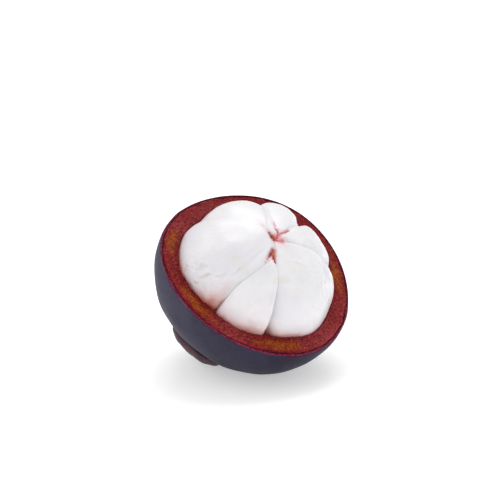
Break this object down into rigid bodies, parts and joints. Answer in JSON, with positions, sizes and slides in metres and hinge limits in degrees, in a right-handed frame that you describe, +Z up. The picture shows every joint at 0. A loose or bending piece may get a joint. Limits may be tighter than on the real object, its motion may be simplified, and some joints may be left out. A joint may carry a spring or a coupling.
{
  "type": "mangosteen",
  "caption": "Mangosteen opened round its middle: the stem-end cup of thick rind, leaning over, with the white flesh segments standing in it and the calyx lobes and stem beneath.",
  "frame": {"origin": "on the surface the fruit rests on, under the centre of its bounding box", "axes": "+Z up; +X along the longest side of the box; the fruit's axis leans from upright towards -Y, so the opening faces up and towards -Y and the stem points down and towards +Y"},
  "size_m": [0.064, 0.059, 0.0525],
  "materials": {
    "rind_skin": "matte, with a faint bloom",
    "aril_white": "soft satin, moist",
    "sepal_leather": "matte, leathery",
    "stem_wood": "matte, woody"
  },
  "bodies": {
    "root": {"rind": "rind_skin", "aril_segment_1": "aril_white", "aril_segment_2": "aril_white", "aril_segment_3": "aril_white", "aril_segment_4": "aril_white", "aril_segment_5": "aril_white", "sepal_outer_left": "sepal_leather", "sepal_outer_right": "sepal_leather", "sepal_inner_back": "sepal_leather", "sepal_inner_under": "sepal_leather", "stem": "stem_wood"}
  },
  "joints": []
}
